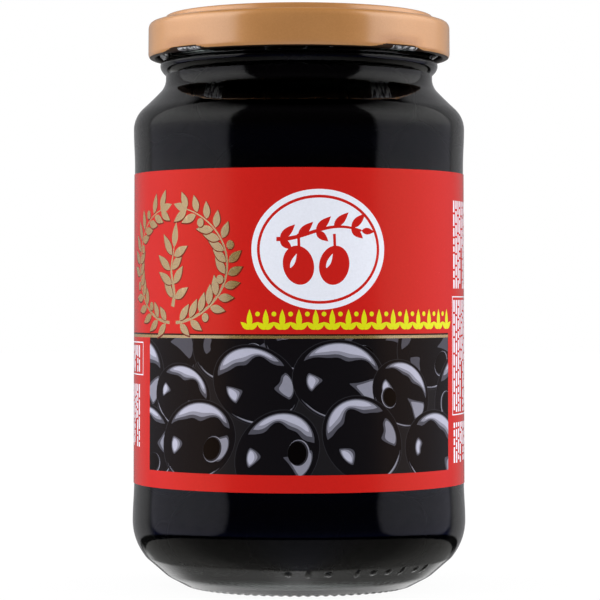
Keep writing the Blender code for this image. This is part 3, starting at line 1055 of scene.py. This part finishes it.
# Faces that look inward, or down under the curl, take the inside lacquer with its painted shade.
for face in lid.data.polygons:
    x, y, z = face.center / MM
    r = math.hypot(x, y)
    inward = r > 1 and (x * face.normal.x + y * face.normal.y) / r < FACING and z < TOP_PANEL
    under = face.normal.z < FACING and r < LACQUER_SHADE_EDGE
    if inward or under:
        # Beside a lug and low down the bare tin takes their place, drawn bright as painted glints.
        squeezed = off_lug(math.atan2(x, -y) - BARE_GLINT_SHIFT) < BARE_GLINT_HALF_SPAN
        face.material_index = 2 if squeezed and z < BARE_GLINT_TOP else 1
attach(lid, "root")
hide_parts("lid")

# %% [markdown]
# ## Drawing the label flat
#
# A label is printed flat and then wrapped, so it is drawn flat here too: u runs to the right along the paper
# from the middle of the front, and z is the height on the jar. Every printed field is a closed outline in
# that plane. A triangulation that honours all the outlines at once then cuts the paper into fields, each
# with its own ink, which gives crisp edges with no image. The motifs are plain ones: a wreath of leaves, an
# oval with olives, a leaf border and a picture field of glossy olives.

# %% Helpers for printed fields
PAPER_MEAN = 36.37  # the label's mean radius
fields = []  # (ink, outline, the field that it stays inside, or None)


def print_field(ink, outline, inside_of=None):
    """Adds an outline, run anticlockwise as the triangulation asks, and returns its number."""
    outline = [tuple(point) for point in outline]
    area = sum(a[0] * b[1] - b[0] * a[1] for a, b in zip(outline, outline[1:] + outline[:1]))
    fields.append((ink, outline if area > 0 else outline[::-1], inside_of))
    return len(fields) - 1


def rectangle(left, low, right, high):
    """The corners of an upright rectangle."""
    return [(left, low), (right, low), (right, high), (left, high)]


def moved(x, y, u, z, turn):
    """Where a shape's point (x, y) comes to lie when the shape is turned and then moved to (u, z)."""
    cos, sin = math.cos(turn), math.sin(turn)
    return (u + x * cos - y * sin, z + x * sin + y * cos)


def oval(u, z, half_wide, half_high, turn=0.0, steps=36):
    """Points round an oval that leans by turn."""
    points = []
    for i in range(steps):
        x, y = half_wide * math.cos(TURN * i / steps), half_high * math.sin(TURN * i / steps)
        points.append(moved(x, y, u, z, turn))
    return points


def leaf(root, turn, length, width, steps=9):
    """A pointed leaf that grows from its root in the direction turn."""
    sides = []
    for side in (1, -1):
        edge = []
        for i in range(1, steps):
            t = i / steps
            edge.append((t * length, side * 0.5 * width * math.sin(math.pi * t ** 0.8)))
        sides.append(edge)
    flat = [(0.0, 0.0), *sides[0], (length, 0.0), *reversed(sides[1])]
    return [moved(x, y, *root, turn) for x, y in flat]


def ribbon(path, start_width, end_width):
    """A stem of changing width along a path."""
    left, right = [], []
    last = len(path) - 1
    for i, point in enumerate(path):
        before, after = path[max(i - 1, 0)], path[min(i + 1, last)]
        along = Vector(after) - Vector(before)
        across = Vector((-along.y, along.x)).normalized()
        half = 0.5 * (start_width + (end_width - start_width) * i / last)
        left.append(tuple(Vector(point) + across * half))
        right.append(tuple(Vector(point) - across * half))
    return left + right[::-1]


print("label runs", round(TURN * PAPER_MEAN, 1), "mm round the jar")

# %% Lay out the picture field and its lines
PAPER = (-114.26, 118.2)  # the paper's two ends; the second laps over the first
PICTURE = (-38.9, 26.5, 38.9, 54.8)
LINE_LEFT = -54.0
LINES = (("hairline", 55.4, 55.75), ("gold foil", 54.8, 55.4))  # ink, lower edge, upper edge

picture = print_field("panel black", rectangle(*PICTURE))
for ink, low, high in LINES:
    print_field(ink, rectangle(LINE_LEFT, low, PICTURE[2], high))
print("picture field:", PICTURE)

# %% [markdown]
# A glossy olive is mostly black. What tells its shape is the light on it: a broad glint over its top, a
# small one beside it, and a thin line of light from below. Each glint is printed as nested outlines, every
# one smaller and lighter than the last, so that it fades softly as a printed photograph would.

# %% Print the glossy olives
GLINT_INKS = ("glint fade", "glint edge", "glint")
PIT_INKS = (("glint edge", 0.52, 1.0), ("rim grey", 0.505, 0.95), ("pit black", 0.485, 0.86))
PRINTED_HALF = (9.9, 8.2)  # half the length and half the height of a middling olive
# height, pitch, shift sideways, and steps in each glint
PRINTED_ROWS = ((53.4, 16.0, 1.0, 1), (44.2, 17.4, 7.6, 3), (31.4, 18.2, -3.4, 3))


def printed_olive(u, z, half_wide, half_high, turn, pit, tones):
    """An olive in flat inks: a black body, glints in steps of lilac grey, and perhaps the pit's hole."""
    phase = [chance.uniform(0, TURN) for _ in range(5)]

    def at(reach, angle):
        """The point in a direction from the olive's middle, at a share of the way to its edge."""
        x, y = reach * half_wide * math.cos(angle), reach * half_high * math.sin(angle)
        return moved(x, y, u, z, turn)

    def glint(middle, half, outer, depth, wave, tones, steps=20):
        """A streak of light that follows the olive's edge, with soft ends and a wavy inner side."""
        for level, ink in enumerate(GLINT_INKS[:tones]):
            shrink = 1 - 0.15 * level
            out, back = [], []
            for i in range(steps + 1):
                t = 2 * i / steps - 1
                angle = middle + half * shrink * t
                swell = (1 - t * t) ** 0.6
                wavy = 0.28 * math.sin(3.1 * angle + wave) + 0.14 * math.sin(6.7 * angle + 2 * wave)
                edge = outer - 0.02 * level - 0.5 * depth * (1 - swell) * 0.3
                thick = depth * (shrink - 0.12 * level) * swell * (1 + wavy)
                out.append(at(edge, angle))
                back.append(at(edge - max(thick, 0.008), angle))
            print_field(ink, out + back[::-1], picture)

    print_field("rim grey", oval(u, z, half_wide * 1.015, half_high * 1.015, turn), picture)
    print_field("olive black", oval(u, z, half_wide, half_high, turn), picture)
    top = 0.5 * math.pi - turn + 0.5 * math.sin(phase[0])
    glint(top, 1.15, 0.94, 0.34, phase[1], tones)
    glint(top - 1.75, 0.42, 0.88, 0.5, phase[2], min(tones, 2))
    glint(top + 1.8, 0.34, 0.72, 0.3, phase[3], tones)
    glint(top + math.pi, 0.9, 0.97, 0.045, phase[4], 2)
    if pit is not None:
        for ink, reach, size in PIT_INKS:
            wide, high = 0.23 * half_wide * size, 0.34 * half_high * size
            print_field(ink, oval(*at(reach, pit), wide, high, turn + pit, steps=30), picture)


chance = random.Random(23)
for height, pitch, shift, tones in PRINTED_ROWS:
    for column in range(-3, 4):
        u = pitch * column + shift + chance.uniform(-1.8, 1.8)
        z = height + chance.uniform(-2.4, 2.4)
        size = chance.uniform(0.8, 1.12)
        turn = chance.uniform(-0.9, 0.9)
        pit = chance.choice((None, None, -0.9, 2.6, -2.2))
        printed_olive(u, z, PRINTED_HALF[0] * size, PRINTED_HALF[1] * size, turn, pit, tones)
print("fields so far:", len(fields))

# %% Print the wreath
LEAF_SPREAD = math.radians(48)
WREATH = (-30.0, 70.2)
WREATH_HALF = (14.6, 12.2)  # half its width and half its height


def sprig(path, ink, leaf_length, leaf_width, gap, start_width=0.7, fruit_every=3):
    """A stem along a path with leaves in pairs and now and then a round fruit."""
    print_field(ink, ribbon(path, start_width, 0.25))
    travelled, number = 0.6 * gap, 0
    for before, after in zip(path, path[1:]):
        step = Vector(after) - Vector(before)
        travelled += step.length
        if travelled < gap:
            continue
        travelled = 0.0
        for side in (1, -1):
            away = math.atan2(step.y, step.x) + side * LEAF_SPREAD
            outward = Vector((math.cos(away), math.sin(away)))
            root = Vector(after) + 0.45 * outward
            if number % fruit_every == fruit_every - 1 and side == (1 if number % 2 else -1):
                middle = root + 1.3 * outward
                print_field("leaf shade", oval(middle.x + 0.12, middle.y - 0.12, 0.95, 1.05, steps=14))
                print_field(ink, oval(middle.x, middle.y, 0.85, 0.95, steps=14))
                continue
            length = leaf_length * (1.0 if side > 0 else 0.85)
            shaded_root = root + Vector((0.1, -0.14))
            print_field("leaf shade", leaf(shaded_root, away, length + 0.25, leaf_width + 0.3))
            print_field(ink, leaf(root, away, length, leaf_width))
        number += 1
    tip = path[-1]
    end = math.atan2(tip[1] - path[-2][1], tip[0] - path[-2][0])
    print_field(ink, leaf(tip, end, leaf_length, leaf_width))


for side in (-1, 1):
    curve = []
    for i in range(41):
        swing = -0.5 * math.pi + side * math.radians(4 + 158 * i / 40)
        u, z = WREATH_HALF[0] * math.cos(swing), WREATH_HALF[1] * math.sin(swing)
        curve.append((WREATH[0] + u, WREATH[1] + z))
    sprig(curve, "gold foil", 4.4, 1.75, 2.5)
stem = []
for i in range(26):
    stem.append((WREATH[0] + 0.45 * math.sin(0.3 * i), WREATH[1] - 8.8 + 0.5 * i))
sprig(stem, "gold foil", 5.4, 1.9, 3.0, start_width=1.1, fruit_every=9)
print("fields with the wreath:", len(fields))

# %% Print the oval
OVAL = (4.3, 73.3)
OVAL_RINGS = (("white ink", 14.3, 12.5, 90), ("label red", 13.1, 11.3, 84), ("white ink", 12.5, 10.7, 84))
OVAL_OLIVES = ((-4.4, 0.25), (3.1, -0.2))  # place sideways, and lean

for ink, half_wide, half_high, steps in OVAL_RINGS:
    print_field(ink, oval(*OVAL, half_wide, half_high, steps=steps))
branch = []
for i in range(25):
    off = -9.0 + 18.0 * i / 24
    branch.append((OVAL[0] + off, OVAL[1] + 3.4 + 1.3 * math.sin(0.25 * off + 0.5)))
print_field("label red", ribbon(branch, 0.9, 0.45))
for number, place in enumerate(branch[1:-1:5]):
    print_field("label red", leaf(place, math.radians(44), 4.4, 1.7))
    if number not in (1, 3):  # the olives hang there
        print_field("label red", leaf(place, math.radians(-40), 3.4, 1.6))
print_field("label red", leaf(branch[-1], math.radians(-4), 3.0, 1.4))
for off, lean in OVAL_OLIVES:
    stalk = [(OVAL[0] + off, OVAL[1] + 3.2), (OVAL[0] + off + 0.1, OVAL[1] + 0.6)]
    print_field("label red", ribbon(stalk, 0.6, 0.6))
    print_field("label red", oval(OVAL[0] + off, OVAL[1] - 3.3, 3.2, 4.1, lean, steps=48))
    print_field("white ink", leaf((OVAL[0] + off - 1.7, OVAL[1] - 3.9), 1.15, 3.3, 0.85))
print("fields with the oval:", len(fields))

# %% Print the leaf border
BORDER = (-10.4, 38.2, 56.7)  # its two ends, and its height
MOTIF = 3.47

for number in range(int((BORDER[1] - BORDER[0]) / MOTIF) + 1):
    u = BORDER[0] + MOTIF * number
    for turn in (math.radians(38), math.radians(142)):
        print_field("yellow ink", leaf((u, BORDER[2]), turn, 2.5, 1.15))
    print_field("yellow ink", leaf((u, BORDER[2] + 0.3), math.radians(90), 3.9, 1.25))
    if number:
        print_field("yellow ink", oval(u - 0.5 * MOTIF, BORDER[2] + 3.2, 0.5, 0.5, steps=14))
print("fields with the border:", len(fields))

# %% [markdown]
# The two side panels carry plain columns of bars, some of them in a thin frame. They keep the panels as
# finely divided as a printed side panel is.

# %% Print the side panels
BAR_PITCH = 1.5
BAR_WIDTH = 0.8
BAR_GAP = 0.45
BAR_LENGTHS = (0.9, 3.6)
SIDE_MARGIN = 0.7
TOP_MARGIN = 0.8
LEAST_ROOM = 0.8  # a column ends where less than this is left
FRAME_LINE = 0.22
PANELS = (  # left, low, right, high, framed
    (41.2, 64.6, 77.0, 85.0, False),
    (41.2, 38.0, 77.0, 63.6, True),
    (41.2, 27.0, 77.0, 37.2, False),
    (-78.0, 46.6, -42.6, 53.8, True),
    (-78.0, 30.4, -42.6, 45.4, False),
)

for left, low, right, high, framed in PANELS:
    if framed:
        print_field("white ink", rectangle(left, low, right, high))
        inner = (left + FRAME_LINE, low + FRAME_LINE, right - FRAME_LINE, high - FRAME_LINE)
        print_field("label red", rectangle(*inner))
    for column in range(int((right - left - 1.2) / BAR_PITCH)):
        u = left + SIDE_MARGIN + BAR_PITCH * column
        stop = low + (0.45 * (high - low) if column % 5 == 4 else SIDE_MARGIN)  # each fifth is shorter
        z = high - TOP_MARGIN
        while z > stop + LEAST_ROOM:
            length = min(chance.uniform(*BAR_LENGTHS), z - stop)
            print_field("white ink", rectangle(u, z - length, u + BAR_WIDTH, z))
            z -= length + BAR_GAP
print("fields in all:", len(fields))

# %% [markdown]
# ## Cutting and wrapping the paper
#
# The paper's outline, all printed fields and an even set of upright lines go into one constrained
# triangulation. The upright lines let the sheet bend smoothly. Each triangle takes the ink of the last field
# printed over it. The flat sheet is then wrapped: u becomes an angle, a second layer of points behind makes
# the paper 0.1 mm thick, and at the back one end climbs over the other in a glued lap.

# %% Triangulate the sheet
STRIP = 1.0  # millimetres between the upright lines

corner_points, upright_lines, loops = [], [], []
for outline in [rectangle(PAPER[0], PAPER_BOTTOM[1], PAPER[1], PAPER_TOP[1])] + [f[1] for f in fields]:
    start = len(corner_points)
    corner_points += [Vector(point) for point in outline]
    loops.append(list(range(start, start + len(outline))))
u = PAPER[0] + STRIP
while u < PAPER[1] - 0.5 * STRIP:
    start = len(corner_points)
    corner_points += [Vector((u, PAPER_BOTTOM[1])), Vector((u, PAPER_TOP[1]))]
    upright_lines.append((start, start + 1))
    u += STRIP
flat_points, _, cut_faces, _, _, face_fields = delaunay_2d_cdt(
    corner_points, upright_lines, loops, 1, 1e-5, True
)

flat_faces, ink_of_face = [], []
for face, covering in zip(cut_faces, face_fields):
    if 0 not in covering:
        continue  # it lies past the paper's edge
    flat_faces.append(face)
    top = "label red"
    for number in sorted(covering, reverse=True):
        if number == 0:
            break
        ink, _, inside_of = fields[number - 1]
        if inside_of is None or inside_of + 1 in covering:
            top = ink
            break
    ink_of_face.append(top)
print("triangles in the sheet:", len(flat_faces))

# %% [markdown]
# ## Printed, varnished paper
#
# Jar labels are coated paper, offset printed and varnished. The coating makes the colour flat and clean, and
# the varnish gives a satin gloss in which the soft boxes show as broad, soft-edged bands. Up close the fibres
# still make the surface slightly uneven. Every ink uses the same recipe with its own colour; the gold is a
# metal ink, so it darkens wherever it faces the dark gap and pales where it faces a box.

# %% Make an ink for each field
FIBRE = 0.5  # millimetres, drawn coarser than the real 0.1 mm so that it shows
PLAIN = (0.0, 0.0, 1.5)  # share of metal, share of clear coat, and the coat's IOR
VARNISHED = (0.0, 0.15, 1.5)
METAL_INK = (0.6, 1.0, 3.2)
INKS = {
    "label red": ("#cb1a17", VARNISHED),
    "white ink": ("#eff2fb", VARNISHED),
    "yellow ink": ("#dcde10", VARNISHED),
    "gold foil": ("#ebc06a", METAL_INK),
    "leaf shade": ("#701f14", PLAIN),
    "hairline": ("#3a1712", PLAIN),
    "panel black": ("#1c1d21", PLAIN),
    "olive black": ("#101116", PLAIN),
    "rim grey": ("#2b2c32", PLAIN),
    "pit black": ("#060608", PLAIN),
    "glint": ("#b4b5c6", PLAIN),
    "glint edge": ("#8a8b99", PLAIN),
    "glint fade": ("#4c4d57", PLAIN),
    "bare paper": ("#f1efe9", PLAIN),
}
ink_materials = []
for ink, (colour, (metallic, coat, coat_ior)) in INKS.items():
    made, tree = new_material("varnished paper, " + ink)
    place = add_node(tree, "ShaderNodeTexCoord").outputs["Object"]
    fibres = add_node(
        tree,
        "ShaderNodeTexNoise",
        {"Vector": place, "Scale": 1 / (FIBRE * MM), "Detail": 3.0, "Roughness": 0.6},
    )
    shade = add_node(tree, "ShaderNodeMapRange", {"Value": fibres, "To Min": 0.93, "To Max": 1.07})
    tint = add_node(tree, "ShaderNodeVectorMath", {0: linear(colour)[:3], "Scale": shade}, operation="SCALE")
    gloss = add_node(tree, "ShaderNodeMapRange", {"Value": fibres, "To Min": 0.2, "To Max": 0.3})
    bump = add_node(tree, "ShaderNodeBump", {"Height": fibres, "Strength": 0.1, "Distance": 0.04 * MM})
    sheet = add_node(
        tree,
        "ShaderNodeBsdfPrincipled",
        {
            "Base Color": tint,
            "Metallic": metallic,
            "Roughness": gloss,
            "Specular IOR Level": 0.25,
            "Specular Tint": linear("#ffc890"),
            "Coat Weight": coat,
            "Coat IOR": coat_ior,
            "Coat Roughness": 0.16,
            "Normal": bump,
        },
    )
    add_node(tree, "ShaderNodeOutputMaterial", {"Surface": sheet})
    ink_materials.append(made)
print("inks:", len(ink_materials))

# %% Wrap the sheet round the jar
LAP_CLIMB = 6.0  # length over which the upper end climbs on to the lower one
LAP_START = PAPER[0] + TURN * PAPER_MEAN - LAP_CLIMB


def on_jar(u, z, depth):
    """Where a point of the flat sheet comes to lie, at a depth into the paper."""
    r = paper_radius(z) - depth
    r += (PAPER_THICKNESS + BEHIND_PAPER) * smooth((u - LAP_START) / LAP_CLIMB)
    angle = u / PAPER_MEAN
    return (r * math.sin(angle), -r * math.cos(angle), z)


layer = len(flat_points)
sheet_points = [on_jar(u, z, depth) for depth in (0.0, PAPER_THICKNESS) for u, z in flat_points]
sheet_faces = [list(face) for face in flat_faces]
sheet_inks = list(ink_of_face)
sheet_faces += [[corner + layer for corner in reversed(face)] for face in flat_faces]
sheet_inks += ["bare paper"] * len(flat_faces)
uses = {}
for face in flat_faces:
    for a, b in zip(face, list(face[1:]) + [face[0]]):
        uses.setdefault(frozenset((a, b)), []).append((a, b))
for found in uses.values():
    if len(found) == 1:  # the paper's cut edge
        a, b = found[0]
        sheet_faces.append([b, a, a + layer, b + layer])
        sheet_inks.append("bare paper")

label = finish_mesh("label_printed", sheet_points, sheet_faces, ink_materials)
ink_names = list(INKS)
for face, ink in zip(label.data.polygons, sheet_inks):
    face.material_index = ink_names.index(ink)
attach(label, "root")
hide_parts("label")

# %% [markdown]
# ## Measure the size
#
# The finer pieces take the place of the imported solids. Both boxes are printed side by side.

# %% Measure and finish
visual_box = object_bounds()
boxes = {
    "packed": [[float(v) for v in corner] for corner in packed_box],
    "visual": [[float(v) for v in corner] for corner in visual_box],
}
print("packed box:", boxes["packed"])
print("visual box:", boxes["visual"])
